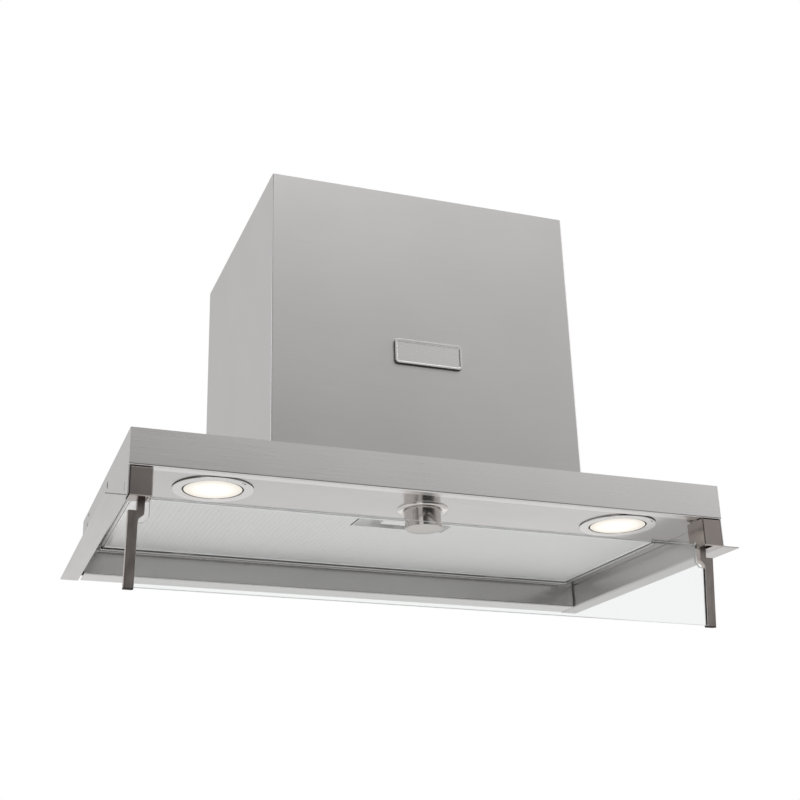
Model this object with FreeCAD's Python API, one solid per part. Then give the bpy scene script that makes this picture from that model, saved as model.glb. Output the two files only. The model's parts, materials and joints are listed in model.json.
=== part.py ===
import FreeCAD, Part
import math
import os

# Cabinet-integrated range hood, 600 mm wide, with a folding glass visor. Millimetres.
# +X is the user's right, +Y points to the wall behind the hood, +Z is up.
# Origin: centre of the four fixing holes in the canopy deck, on the deck's top face.

# ---------------------------------------------------------------- driving dimensions
OVERALL_W = 600.0          # over the two side flanges, the nominal cabinet width
CABINET_SIDE = 18.0        # cabinet side board that each side flange covers
CANOPY_W = OVERALL_W - 2 * CABINET_SIDE
CANOPY_FRONT = -149.0      # front face of the fascia
CANOPY_REAR = 149.0        # rear face of the back sheet
SHEET = 1.0                # stainless sheet thickness
FASCIA_H = 33.0
PANEL_Z = -32.0            # underside of the control panel
PANEL_REAR = -58.0         # rear lip of the control panel
FLANGE_Z = -59.0           # underside of the side and rear flanges
FLANGE_FRONT = -146.0
FLANGE_REAR = 169.0
REAR_WALL_Y = 137.0        # front face of the recess's rear wall
REAR_FLANGE_Y = 166.0
LEDGE_Z = -33.9            # underside of the ledges around the filter
BEND_R = 0.6               # inner radius of a sheet bend
FASCIA_HEM = 10.0
REAR_LEDGE_Y = 127.0       # front edge of the ledge behind the filter
SIDE_HOLES = ((106.0, -5.0), (113.8, -13.2))     # small round holes in each side wall, (y, z)
SIDE_HOLE_R = 2.1

HOUSING_W = 307.0          # motor housing
HOUSING_FRONT = -121.0
HOUSING_REAR = 147.0
HOUSING_H = 283.0
DECK_HOLE = (136.0, -106.0, 128.0)      # half width, front and rear of the air opening
DECK_FIX = (430.0, 210.0)               # spacing of the four fixing holes
DECK_FIX_R = 2.75
HOUSING_SCREW_R = 2.0
HOUSING_SCREWS = [(x, y) for x in (-145.0, 145.0) for y in (-85.0, 13.0, 110.0)]
GLAND = (118.0, 112.0)                  # cable gland in the housing's top, (x, y)
GLAND_R = 8.0

LAMP_X = 200.0
LAMP_Y = -100.0
LAMP_R = 36.0              # bezel
LAMP_GLASS_R = 26.0
LAMP_HOLE_R = 33.0

KNOB_Y = -94.0
KNOB_R = 17.0
KNOB_BOTTOM = -51.3
KNOB_RING_R = 23.5
SPINDLE_R = 3.0
SWITCH_BUSH_R = 5.0

BLOCK_X = (261.3, 280.4)   # hinge block, inner and outer face
BLOCK_DEPTH = 25.0
BLOCK_TOP = -33.7
BLOCK_SCREWS = [(268.2, -130.0), (276.0, -130.0)]
BLOCK_SCREW_R = 1.6
SLOT_X = (264.2, 271.9)    # slot in the hinge block for the lever
WASHER_T = 0.5
PIVOT_Y = -132.4           # visor hinge axis
PIVOT_Z = -54.3
VISOR_LEAN = 6.26          # backward lean of the hanging visor, degrees
ARM_X = (270.0, 278.5)     # visor arm, inner and outer face
LEVER_X = (264.9, 271.2)   # lever that joins an arm to its pivot
ARM_T = 6.0
ARM_LEN = 76.9             # pivot to the arm's lower end
ARM_CAP_T = 1.3
GLASS_T = 4.0
HINGE_PIN_R = 2.0
RUNNING = 0.05             # radial clearance of a running fit

FILTER_X = 265.2
FILTER_Y = (-57.2, 123.6)
FILTER_Z = (-32.6, -23.6)
FILTER_LIP = 7.0
FILTER_SKIN = 0.8
LATCH_CUP = (46.0, -54.5, -24.5)        # half width, front and rear
LATCH = (21.0, -46.0, -36.0)
FILTER_MESH_T = 0.4
FILTER_TAB_Z = -32.6       # underside of the two rear tabs
FILTER_TAB_RISE = 4.9      # height of the tabs' upright part
LATCH_SPRING_R = 2.2
LATCH_SPRING_Z = FILTER_Z[0] + 3.8
NOSE_Z = (FILTER_Z[0] + 4.0, FILTER_Z[0] + 5.6)
NOSE_HALF_W = 8.0

FAN_Y = -32.0              # impeller axis, along X
FAN_Z = 110.0
SCROLL_R = 78.0            # volute radius at the cut-off
SCROLL_STEP = 10.0         # growth of the volute in each quarter turn
SCROLL_HALF_W = 56.0
SCROLL_WALL = 2.0
CUTOFF = 20.0              # the cut-off stands this far behind the impeller axis
IMPELLER_R = 70.0
BLADE_IN_R = 58.0
BLADE_COUNT = 32
MOTOR_R = 42.0
SHAFT_R = 4.0

DUCT_Y = 32.0              # air outlet axis
DUCT_R = 60.0              # outside of the outlet collar
DUCT_H = 40.0
FLAP_Z = 291.0             # flap hinge axis
FLAP_R = 57.6
FLAP_PIN_R = 1.5
FLAP_T = 1.4
COLLAR_SCREW_R = 1.8
COLLAR_SCREW_PCD = 138.0

X_AXIS = FreeCAD.Vector(1, 0, 0)
Y_AXIS = FreeCAD.Vector(0, 1, 0)
Z_AXIS = FreeCAD.Vector(0, 0, 1)


# ---------------------------------------------------------------- shared shapes
def block(x, y, z):
    """A box from (low, high) pairs."""
    corner = FreeCAD.Vector(min(x), min(y), min(z))
    return Part.makeBox(abs(x[1] - x[0]), abs(y[1] - y[0]), abs(z[1] - z[0]), corner)


def rod(start, radius, length, axis=Z_AXIS):
    """A cylinder that grows from start along axis."""
    return Part.makeCylinder(radius, length, FreeCAD.Vector(*start), axis)


def tube(start, outer, inner, length, axis=Z_AXIS):
    return rod(start, outer, length, axis).cut(rod(start, inner, length, axis))


def place(point, plane, level):
    """A point of a flat outline, put into space; plane names the outline's two axes."""
    first, second = point
    spots = {
        "XY": (first, second, level),
        "XZ": (first, level, second),
        "YZ": (level, first, second),
    }
    return FreeCAD.Vector(*spots[plane])


def prism(points, plane, low, high):
    """A flat outline extruded between two levels of the axis across its plane."""
    across = {"XY": Z_AXIS, "XZ": Y_AXIS, "YZ": X_AXIS}[plane]
    corners = [place(p, plane, low) for p in points]
    face = Part.Face(Part.makePolygon(corners + corners[:1]))
    return face.extrude(across * (high - low))


def mirrored(shape):
    """The left-hand copy of a right-hand shape."""
    return shape.mirror(FreeCAD.Vector(0, 0, 0), X_AXIS)


def joined(shapes):
    first, *rest = shapes
    return first.fuse(rest).removeSplitter() if rest else first


def rounded(shape, radius, chosen):
    """The shape with the edges that chosen accepts rounded."""
    edges = [edge for edge in shape.Edges if chosen(edge)]
    return shape.makeFillet(radius, edges)


def runs_along(edge, axis):
    ends = [vertex.Point for vertex in edge.Vertexes]
    return len(ends) == 2 and abs(abs((ends[1] - ends[0]).normalize().dot(axis)) - 1) < 1e-6


def offset_path(path, distance):
    """The path moved to its left by distance, with mitred corners."""
    def normal(a, b):
        length = math.hypot(b[0] - a[0], b[1] - a[1])
        return (-(b[1] - a[1]) / length, (b[0] - a[0]) / length)

    normals = [normal(a, b) for a, b in zip(path, path[1:])]
    moved = []
    for index, point in enumerate(path):
        before = normals[max(index - 1, 0)]
        after = normals[min(index, len(normals) - 1)]
        scale = distance / (1 + before[0] * after[0] + before[1] * after[1])
        moved.append((point[0] + scale * (before[0] + after[0]),
                      point[1] + scale * (before[1] + after[1])))
    return moved


def folded_sheet(path, plane, low, high, thickness=SHEET):
    """Sheet metal bent along path, which is its right-hand face, with rounded bends."""
    other = offset_path(path, thickness)
    sheet = prism(path + other[::-1], plane, low, high)
    axis = {"XY": Z_AXIS, "XZ": Y_AXIS, "YZ": X_AXIS}[plane]
    for index in range(1, len(path) - 1):
        turn = ((path[index][0] - path[index - 1][0]) * (path[index + 1][1] - path[index][1])
                - (path[index][1] - path[index - 1][1]) * (path[index + 1][0] - path[index][0]))
        inner, outer = (other[index], path[index]) if turn > 0 else (path[index], other[index])
        for corner, radius in ((inner, BEND_R), (outer, BEND_R + thickness)):
            spot = place(corner, plane, low)

            def at_corner(edge):
                return runs_along(edge, axis) and edge.distToShape(Part.Vertex(spot))[0] < 0.01

            sheet = rounded(sheet, radius, at_corner)
    return sheet


def leaned(shape):
    """A visor piece turned from plumb to its hanging lean about the hinge axis."""
    turned = shape.copy()
    turned.rotate(FreeCAD.Vector(0, PIVOT_Y, PIVOT_Z), X_AXIS, VISOR_LEAN)
    return turned


def visor_plate(points, thickness):
    """An outline in (x, distance below the pivot), extruded about the visor's middle plane."""
    outline = [(x, PIVOT_Z - below) for x, below in points]
    return prism(outline, "XZ", PIVOT_Y - thickness / 2, PIVOT_Y + thickness / 2)


# ---------------------------------------------------------------- canopy
def canopy_deck():
    half = CANOPY_W / 2 - SHEET
    deck = block((-half, half), (CANOPY_FRONT + SHEET, CANOPY_REAR - SHEET), (-SHEET, 0))
    wide, front, rear = DECK_HOLE
    cuts = [block((-wide, wide), (front, rear), (-SHEET, 0))]
    for x in (-DECK_FIX[0] / 2, DECK_FIX[0] / 2):
        for y in (-DECK_FIX[1] / 2, DECK_FIX[1] / 2):
            cuts.append(rod((x, y, -SHEET), DECK_FIX_R, SHEET))
    cuts += [rod((x, y, -SHEET), HOUSING_SCREW_R, SHEET) for x, y in HOUSING_SCREWS]
    return deck.cut(cuts)


def fascia_panel():
    """Front strip with a hem below, which stops short of the side walls."""
    half = CANOPY_W / 2
    hem_rear = CANOPY_FRONT + FASCIA_HEM
    path = [(CANOPY_FRONT, 0), (CANOPY_FRONT, -FASCIA_H), (hem_rear, -FASCIA_H)]
    ends = [block((side * half, side * (half - SHEET)), (CANOPY_FRONT + SHEET, hem_rear),
                  (-FASCIA_H, SHEET + BEND_R - FASCIA_H)) for side in (-1, 1)]
    return folded_sheet(path, "YZ", -half, half).cut(ends)


def control_panel():
    half = CANOPY_W / 2 - SHEET - 0.2
    lip_top = -20.0
    path = [(CANOPY_FRONT + SHEET + BEND_R, PANEL_Z), (PANEL_REAR, PANEL_Z), (PANEL_REAR, lip_top)]
    panel = folded_sheet(path, "YZ", -half, half)
    cuts = [rod((x, LAMP_Y, PANEL_Z), LAMP_HOLE_R, SHEET) for x in (-LAMP_X, LAMP_X)]
    cuts.append(rod((0, KNOB_Y, PANEL_Z), SWITCH_BUSH_R, SHEET))
    for x, y in BLOCK_SCREWS:
        cuts += [rod((side * x, y, PANEL_Z), BLOCK_SCREW_R, SHEET) for side in (-1, 1)]
    return panel.cut(cuts)


def side_panel_right():
    """Side wall with an outward flange, a vent oblong, a locating slit and two small holes."""
    inner = CANOPY_W / 2 - SHEET
    tip = OVERALL_W / 2
    path = [(inner, 0), (inner, FLANGE_Z), (tip, FLANGE_Z)]
    sheet = folded_sheet(path, "XZ", CANOPY_FRONT + SHEET, FLANGE_REAR)
    flange_top = FLANGE_Z + SHEET
    through = (inner, inner + SHEET)
    oblong = block(through, (-25.0, -20.5), (-16.5, -9.5))
    oblong = rounded(oblong, 2.0, lambda edge: runs_along(edge, X_AXIS))
    slit = block(through, (-130.2, -128.8), (-50.5, -42.5))
    cuts = [
        block((inner, tip), (CANOPY_REAR, FLANGE_REAR), (flange_top + BEND_R, 0)),
        block((inner + SHEET + BEND_R, tip), (CANOPY_FRONT, FLANGE_FRONT), (FLANGE_Z, flange_top)),
        oblong,
        slit,
    ]
    cuts += [rod((inner, y, z), SIDE_HOLE_R, SHEET, X_AXIS) for y, z in SIDE_HOLES]
    return sheet.cut(cuts)


def rear_panel():
    half = CANOPY_W / 2 - SHEET
    return block((-half, half), (CANOPY_REAR - SHEET, CANOPY_REAR), (FLANGE_Z + SHEET, 0))


def rear_rail():
    """Ledge behind the filter, rear wall of the recess and rear flange, bent from one strip."""
    half = CANOPY_W / 2 - 2.5
    path = [(REAR_LEDGE_Y, LEDGE_Z), (REAR_WALL_Y, LEDGE_Z), (REAR_WALL_Y, FLANGE_Z), (REAR_FLANGE_Y, FLANGE_Z)]
    return folded_sheet(path, "YZ", -half, half)


def side_ledge_right():
    outer = CANOPY_W / 2 - SHEET
    path = [(FILTER_X + 0.8, LEDGE_Z), (outer, LEDGE_Z), (outer, LEDGE_Z + 12.0)]
    return folded_sheet(path, "XZ", PANEL_REAR + SHEET, REAR_LEDGE_Y - 0.5)


# ---------------------------------------------------------------- motor housing
def motor_housing_shell():
    """Front and both sides bent from one sheet, with inward feet that screw to the deck."""
    half = HOUSING_W / 2
    path = [(-half, HOUSING_REAR), (-half, HOUSING_FRONT), (half, HOUSING_FRONT), (half, HOUSING_REAR)]
    wrap = folded_sheet(path, "XY", 0, HOUSING_H - SHEET)
    foot_y = (HOUSING_FRONT + 12.0, HOUSING_REAR - 12.0)
    feet = [block((side * (half - SHEET), side * (half - 15.0)), foot_y, (0, SHEET)) for side in (-1, 1)]
    shell = joined([wrap] + feet)
    return shell.cut([rod((x, y, 0), HOUSING_SCREW_R, SHEET) for x, y in HOUSING_SCREWS])


def motor_housing_back():
    half = HOUSING_W / 2 - SHEET
    return block((-half, half), (HOUSING_REAR - SHEET, HOUSING_REAR), (0, HOUSING_H - SHEET))


def motor_housing_top():
    half = HOUSING_W / 2
    top = block((-half, half), (HOUSING_FRONT, HOUSING_REAR), (HOUSING_H - SHEET, HOUSING_H))
    top = rounded(top, 1.6, lambda edge: runs_along(edge, Z_AXIS))
    cuts = [rod((0, DUCT_Y, HOUSING_H - SHEET), DUCT_R - 3.0, SHEET)]
    cuts.append(rod((GLAND[0], GLAND[1], HOUSING_H - SHEET), GLAND_R, SHEET))
    cuts += [rod((x, y, HOUSING_H - SHEET), COLLAR_SCREW_R, SHEET) for x, y in collar_screw_spots()]
    return top.cut(cuts)


def badge_plate():
    """A blank plate with a raised border."""
    half_w, half_h, middle = 34.0, 12.5, 112.5
    thickness, border, sunk = 2.4, 2.0, 0.8
    face = HOUSING_FRONT - thickness
    plate = block((-half_w, half_w), (face, HOUSING_FRONT), (middle - half_h, middle + half_h))
    plate = rounded(plate, 3.5, lambda edge: runs_along(edge, Y_AXIS))
    inside = block((border - half_w, half_w - border), (face, face + sunk),
                   (middle - half_h + border, middle + half_h - border))
    inside = rounded(inside, 1.8, lambda edge: runs_along(edge, Y_AXIS))
    return plate.cut(inside)


def housing_screws():
    """Six screws up through the deck, heads below, into the housing's feet."""
    screws = []
    for x, y in HOUSING_SCREWS:
        screws.append(joined([rod((x, y, -SHEET), HOUSING_SCREW_R, 6.0),
                              rod((x, y, -SHEET - 2.2), 3.8, 2.2)]))
    return Part.makeCompound(screws)


# ---------------------------------------------------------------- blower
def volute(grow):
    """Blower outline in the YZ plane, moved outwards by grow, from the cut-off round to the outlet."""
    step = SCROLL_STEP
    first = SCROLL_R + grow
    centres = [(FAN_Y, FAN_Z), (FAN_Y + step, FAN_Z), (FAN_Y + step, FAN_Z + step)]
    radii = [first, first + step, first + 2 * step]
    inner_y = FAN_Y + CUTOFF - grow
    start = math.acos((CUTOFF - grow) / first)
    spans = [(start, math.pi), (math.pi, 1.5 * math.pi), (1.5 * math.pi, 2 * math.pi)]
    edges = []
    for (cy, cz), radius, (low, high) in zip(centres, radii, spans):
        spots = [place((cy + radius * math.cos(a), cz + radius * math.sin(a)), "YZ", 0)
                 for a in (low, (low + high) / 2, high)]
        edges.append(Part.Arc(*spots).toShape())
    top = HOUSING_H - SHEET - 0.5
    outer_y = centres[2][0] + radii[2]
    corners = [place((outer_y, centres[2][1]), "YZ", 0), place((outer_y, top), "YZ", 0),
               place((inner_y, top), "YZ", 0), edges[0].valueAt(edges[0].FirstParameter)]
    edges += [Part.LineSegment(a, b).toShape() for a, b in zip(corners, corners[1:])]
    return Part.Face(Part.Wire(Part.__sortEdges__(edges)))


def volute_solid(grow, low, high):
    solid = volute(grow).extrude(X_AXIS * (high - low))
    solid.translate(FreeCAD.Vector(low, 0, 0))
    return solid


def scroll_band():
    low, high = -SCROLL_HALF_W, SCROLL_HALF_W
    return volute_solid(SCROLL_WALL, low, high).cut(volute_solid(0, low, high).fuse(
        block((low, high), (FAN_Y + CUTOFF, FAN_Y + SCROLL_STEP + SCROLL_R + 2 * SCROLL_STEP),
              (FAN_Z + SCROLL_R, HOUSING_H))))


def scroll_cheek_right():
    """Side plate of the blower with its rolled inlet ring."""
    low, high = SCROLL_HALF_W, SCROLL_HALF_W + SCROLL_WALL
    plate = volute_solid(SCROLL_WALL, low, high)
    inlet = 52.0
    ring = tube((low, FAN_Y, FAN_Z), inlet + 4.0, inlet, SCROLL_WALL + 4.0, X_AXIS)
    return plate.cut(rod((low, FAN_Y, FAN_Z), inlet, SCROLL_WALL, X_AXIS)).fuse(ring)


def spider_arm(angle):
    """One arm from the motor's end cap out to the blower's left cheek."""
    arm = block((-SCROLL_HALF_W - SCROLL_WALL - 7.0, -SCROLL_HALF_W - SCROLL_WALL - 4.5),
                (FAN_Y - 6.0, FAN_Y + 6.0), (FAN_Z + 12.0, FAN_Z + 66.0))
    foot = block((-SCROLL_HALF_W - SCROLL_WALL - 7.0, -SCROLL_HALF_W - SCROLL_WALL),
                 (FAN_Y - 6.0, FAN_Y + 6.0), (FAN_Z + 58.0, FAN_Z + 66.0))
    whole = arm.fuse(foot)
    whole.rotate(FreeCAD.Vector(0, FAN_Y, FAN_Z), X_AXIS, angle)
    return whole


def motor_spider():
    hub = tube((-SCROLL_HALF_W - SCROLL_WALL - 7.0, FAN_Y, FAN_Z), 20.0, 9.0, 2.5, X_AXIS)
    return joined([hub] + [spider_arm(angle) for angle in (30, 150, 270)])


def fan_motor():
    """Induction motor that stands inside the impeller, carried by the spider."""
    back = -SCROLL_HALF_W - SCROLL_WALL - 4.5
    can = rod((back, FAN_Y, FAN_Z), MOTOR_R, 62.0, X_AXIS)
    can = can.makeChamfer(3.0, [e for e in can.Edges if e.Curve.TypeId == "Part::GeomCircle"])
    boss = rod((back - 2.5, FAN_Y, FAN_Z), 8.9, 2.5, X_AXIS)
    body = can.fuse(boss)
    return body.cut(rod((back - 3.0, FAN_Y, FAN_Z), SHAFT_R + RUNNING, 70.0, X_AXIS))


def motor_shaft():
    return rod((-SCROLL_HALF_W - SCROLL_WALL - 6.0, FAN_Y, FAN_Z), SHAFT_R, 90.0, X_AXIS)


def impeller():
    """Two-sided blower wheel: web, hub, end rings and forward-curved blades."""
    half = SCROLL_HALF_W - 6.0
    web_x = 10.0
    centre = (FAN_Y, FAN_Z)
    web = rod((web_x, *centre), IMPELLER_R - 1.0, 2.0, X_AXIS)
    hub = rod((web_x, *centre), 10.0, 14.0, X_AXIS)
    rings = [tube((x, *centre), IMPELLER_R, BLADE_IN_R, 3.0, X_AXIS) for x in (-half, half - 3.0)]
    blade_w = IMPELLER_R - BLADE_IN_R - 1.0
    blade = block((-half + 1.0, half - 1.0), (FAN_Y - 0.6, FAN_Y + 0.6),
                  (FAN_Z + BLADE_IN_R + 0.5, FAN_Z + BLADE_IN_R + 0.5 + blade_w))
    blade.rotate(FreeCAD.Vector(0, FAN_Y, FAN_Z + BLADE_IN_R + 6.0), X_AXIS, 22)
    blades = []
    for index in range(BLADE_COUNT):
        turned = blade.copy()
        turned.rotate(FreeCAD.Vector(0, FAN_Y, FAN_Z), X_AXIS, index * 360.0 / BLADE_COUNT)
        blades.append(turned)
    wheel = web.fuse([hub] + rings + blades)
    return wheel.cut(rod((web_x - 1.0, *centre), SHAFT_R, 16.0, X_AXIS))


# ---------------------------------------------------------------- air outlet
def collar_screw_spots():
    reach = COLLAR_SCREW_PCD / 2 * math.sqrt(0.5)
    return [(sx * reach, DUCT_Y + sy * reach) for sx in (-1, 1) for sy in (-1, 1)]


def outlet_collar():
    """Outlet spigot with a flap seat inside and a foot ring on the housing."""
    foot = tube((0, DUCT_Y, HOUSING_H), DUCT_R + 15.0, DUCT_R - 1.5, 2.0)
    wall = tube((0, DUCT_Y, HOUSING_H), DUCT_R, DUCT_R - 1.5, DUCT_H)
    seat = tube((0, DUCT_Y, FLAP_Z - 4.0), DUCT_R - 1.0, DUCT_R - 5.0, 1.5)
    collar = joined([foot, wall, seat])
    cuts = [rod((x, y, HOUSING_H), COLLAR_SCREW_R, 3.0) for x, y in collar_screw_spots()]
    cuts.append(rod((-DUCT_R - 1.0, DUCT_Y, FLAP_Z), FLAP_PIN_R, 2 * DUCT_R + 2.0, X_AXIS))
    return collar.cut(cuts)


def collar_screws():
    """Four screws down through the collar's foot ring."""
    screws = []
    for x, y in collar_screw_spots():
        screws.append(joined([rod((x, y, HOUSING_H + 2.0), 3.4, 2.0),
                              rod((x, y, HOUSING_H - 6.0), COLLAR_SCREW_R, 8.0)]))
    return Part.makeCompound(screws)


def flap_pin():
    return rod((-DUCT_R + 0.5, DUCT_Y, FLAP_Z), FLAP_PIN_R, 2 * DUCT_R - 1.0, X_AXIS)


def flap(side, knuckles):
    """Half-round non-return flap; side is +1 for the rear half and -1 for the front half."""
    low = FLAP_Z - 2.2
    level = (low, low + FLAP_T)
    disc = rod((0, DUCT_Y, low), FLAP_R, FLAP_T)
    half = disc.common(block((-FLAP_R, FLAP_R), (DUCT_Y + side * 3.6, DUCT_Y + side * FLAP_R), level))
    barrel_r, barrel_w = 3.2, 16.0
    pieces = [half]
    for x in knuckles:
        barrel = rod((x, DUCT_Y, FLAP_Z), barrel_r, barrel_w, X_AXIS)
        strap = block((x, x + barrel_w), (DUCT_Y, DUCT_Y + side * 8.0), level)
        pieces.append(barrel.fuse(strap))
    bore = rod((-FLAP_R, DUCT_Y, FLAP_Z), FLAP_PIN_R + RUNNING, 2 * FLAP_R, X_AXIS)
    return joined(pieces).cut(bore)


# ---------------------------------------------------------------- electrics
def terminal_box():
    x, y = GLAND
    case = block((x - 26.0, x + 26.0), (y - 22.0, y + 22.0), (246.0, HOUSING_H - SHEET))
    hollow = block((x - 24.0, x + 24.0), (y - 20.0, y + 20.0), (248.0, HOUSING_H - SHEET))
    return case.cut(hollow)


def cable_gland():
    """Gland for the supply cord in the housing's top: hexagon, domed nut and a through bore."""
    x, y = GLAND
    thread = rod((x, y, HOUSING_H - 8.0), GLAND_R, 8.0)
    corners = [(x + 12.0 * math.cos(math.radians(a)), y + 12.0 * math.sin(math.radians(a)))
               for a in range(0, 360, 60)]
    hexagon = prism(corners, "XY", HOUSING_H, HOUSING_H + 5.0)
    dome = rod((x, y, HOUSING_H + 5.0), 9.5, 9.0)
    crown = HOUSING_H + 13.0
    dome = rounded(dome, 3.0, lambda e: e.Curve.TypeId == "Part::GeomCircle" and e.Vertexes[0].Z > crown)
    body = joined([thread, hexagon, dome])
    return body.cut(rod((x, y, HOUSING_H - 9.0), 3.6, 30.0))


def run_capacitor():
    x = SCROLL_HALF_W + SCROLL_WALL + 17.0
    can = rod((x, -10.0, 228.0), 16.0, 56.0, Y_AXIS)
    return can.makeFillet(2.0, [e for e in can.Edges if e.Curve.TypeId == "Part::GeomCircle"])


def led_driver():
    case = block((-246.0, -184.0), (-10.0, 90.0), (-21.0, -SHEET))
    return rounded(case, 2.5, lambda edge: runs_along(edge, Z_AXIS))


# ---------------------------------------------------------------- lamps
def lamp_bezel(x):
    """Pressed ring with a groove outside the glass and a short neck through the panel."""
    face = PANEL_Z - 1.4
    ring = rod((x, LAMP_Y, face), LAMP_R, 1.4)
    ring = ring.makeChamfer(0.6, [e for e in ring.Edges
                                  if e.Curve.TypeId == "Part::GeomCircle" and e.Vertexes[0].Z < face + 0.1])
    neck = rod((x, LAMP_Y, PANEL_Z), 31.0, 9.0)
    groove = tube((x, LAMP_Y, face), 29.2, 27.8, 0.7)
    bore = rod((x, LAMP_Y, face), LAMP_GLASS_R + 0.2, 12.0)
    return ring.fuse(neck).cut([groove, bore])


def lamp_glass(x):
    disc = rod((x, LAMP_Y, PANEL_Z - 1.0), LAMP_GLASS_R, 3.0)
    return disc.makeChamfer(0.5, [e for e in disc.Edges
                                  if e.Curve.TypeId == "Part::GeomCircle" and e.Vertexes[0].Z < PANEL_Z])


def lamp_can(x):
    outside = rod((x, LAMP_Y, PANEL_Z + SHEET), LAMP_HOLE_R + 0.6, 23.0)
    inside = rod((x, LAMP_Y, PANEL_Z + SHEET), LAMP_HOLE_R - 0.6, 22.0)
    return outside.cut(inside)


def lamp_bulb(x):
    """Flat lamp capsule that hangs from the can's roof."""
    base = rod((x, LAMP_Y, -15.0), 20.0, 6.0)
    dome = Part.makeSphere(14.0, FreeCAD.Vector(x, LAMP_Y, -15.0))
    lower = dome.common(block((x - 20, x + 20), (LAMP_Y - 20, LAMP_Y + 20), (-40, -15.0)))
    return base.fuse(lower)


# ---------------------------------------------------------------- control knob
def knob_ring():
    """Polished raised ring around the knob."""
    ring = tube((0, KNOB_Y, PANEL_Z - 2.0), KNOB_RING_R, KNOB_R + 0.8, 2.0)
    return ring.makeFillet(0.8, [e for e in ring.Edges
                                 if e.Curve.TypeId == "Part::GeomCircle" and e.Vertexes[0].Z < PANEL_Z - 1.9])


def control_knob():
    top = PANEL_Z - 0.6
    knob = rod((0, KNOB_Y, KNOB_BOTTOM), KNOB_R, top - KNOB_BOTTOM)
    knob = knob.makeChamfer(0.7, [e for e in knob.Edges
                                  if e.Curve.TypeId == "Part::GeomCircle" and e.Vertexes[0].Z < KNOB_BOTTOM + 1])
    hollow = tube((0, KNOB_Y, KNOB_BOTTOM + 3.0), KNOB_R - 1.6, 5.5, top - KNOB_BOTTOM - 3.0)
    nut_room = rod((0, KNOB_Y, top - 6.0), 10.0, 6.0)
    bore = rod((0, KNOB_Y, KNOB_BOTTOM + 4.0), SPINDLE_R, top - KNOB_BOTTOM)
    return knob.cut([hollow, nut_room, bore])


def knob_spindle():
    return rod((0, KNOB_Y, KNOB_BOTTOM + 4.0), SPINDLE_R, 32.0)


def speed_switch():
    """Rotary speed switch above the panel; its bush stands in the panel's hole."""
    case = block((-17.0, 17.0), (KNOB_Y - 17.0, KNOB_Y + 17.0), (PANEL_Z + SHEET, -10.0))
    bush = rod((0, KNOB_Y, PANEL_Z - 4.0), SWITCH_BUSH_R, 5.0)
    return case.fuse(bush).cut(rod((0, KNOB_Y, PANEL_Z - 5.0), SPINDLE_R + RUNNING, 23.0))


def switch_nut():
    corners = [(8.0 * math.cos(math.radians(a)), KNOB_Y + 8.0 * math.sin(math.radians(a)))
               for a in range(0, 360, 60)]
    nut = prism(corners, "XY", PANEL_Z - 2.5, PANEL_Z)
    return nut.cut(rod((0, KNOB_Y, PANEL_Z - 3.0), SWITCH_BUSH_R, 4.0))


# ---------------------------------------------------------------- visor and its hinges
def hinge_block_right():
    """Cast block with a slot for the lever, open below and behind, and a bevelled front."""
    front = CANOPY_FRONT
    rear = front + BLOCK_DEPTH
    outline = [(front, FLANGE_Z), (front + 18.0, FLANGE_Z), (rear, FLANGE_Z + 7.0),
               (rear, BLOCK_TOP), (front, BLOCK_TOP)]
    body = prism(outline, "YZ", *BLOCK_X)
    body = body.makeChamfer(0.8, [e for e in body.Edges
                                  if abs(e.BoundBox.YMax - front) < 0.01 and e.BoundBox.YLength < 0.01])
    pad = block((BLOCK_X[0] + 2.0, BLOCK_X[1] - 1.0), (front + 11.0, rear - 2.0), (BLOCK_TOP, PANEL_Z))
    body = body.fuse(pad)
    slot = block(SLOT_X, (front + 3.0, rear), (FLANGE_Z, BLOCK_TOP - 7.0))
    cuts = [slot, rod((BLOCK_X[0], PIVOT_Y, PIVOT_Z), HINGE_PIN_R, 17.0, X_AXIS)]
    cuts += [rod((x, y, PANEL_Z - 6.0), BLOCK_SCREW_R, 6.0) for x, y in BLOCK_SCREWS]
    return body.cut(cuts)


def hinge_pin_right():
    return rod((BLOCK_X[0] + 0.3, PIVOT_Y, PIVOT_Z), HINGE_PIN_R, 16.7, X_AXIS)


def hinge_washers():
    """Two thin washers on each hinge pin, one each side of the lever."""
    washers = []
    for side in (-1, 1):
        for x in (SLOT_X[0] + WASHER_T / 2, SLOT_X[1] - WASHER_T / 2):
            start = side * x - WASHER_T / 2
            washers.append(tube((start, PIVOT_Y, PIVOT_Z), 3.1, HINGE_PIN_R + RUNNING, WASHER_T, X_AXIS))
    return Part.makeCompound(washers)


def visor_arm_right():
    """Lever, crossbar and arm cast in one piece; a groove in the arm holds the glass."""
    lever_in, lever_out = LEVER_X
    arm_in, arm_out = ARM_X
    outline = [(lever_in, 0), (lever_out, 0), (lever_out, 12.8), (arm_out, 12.8), (arm_out, ARM_LEN),
               (arm_in, ARM_LEN), (arm_in, 22.0), (269.4, 19.6), (lever_in, 15.8)]
    arm = visor_plate(outline, ARM_T)
    eye = rod((lever_in, PIVOT_Y, PIVOT_Z), ARM_T / 2, lever_out - lever_in, X_AXIS)
    groove = visor_plate([(arm_in, 22.4), (arm_in + 2.0, 22.4), (arm_in + 2.0, ARM_LEN), (arm_in, ARM_LEN)],
                         GLASS_T + 0.2)
    bore = rod((lever_in, PIVOT_Y, PIVOT_Z), HINGE_PIN_R + RUNNING, lever_out - lever_in, X_AXIS)
    arm = arm.fuse(eye).removeSplitter().cut([groove, bore])
    return leaned(arm)


def visor_glass():
    """Clear pane with notched upper corners that clear the levers and the hinge blocks."""
    right = [(260.6, 0.7), (260.6, 17.8), (265.0, 22.2), (ARM_X[0] + 1.6, 22.8), (ARM_X[0] + 1.6, 76.4)]
    left = [(-x, below) for x, below in right[::-1]]
    pane = visor_plate(right + left, GLASS_T)
    return leaned(pane)


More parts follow.
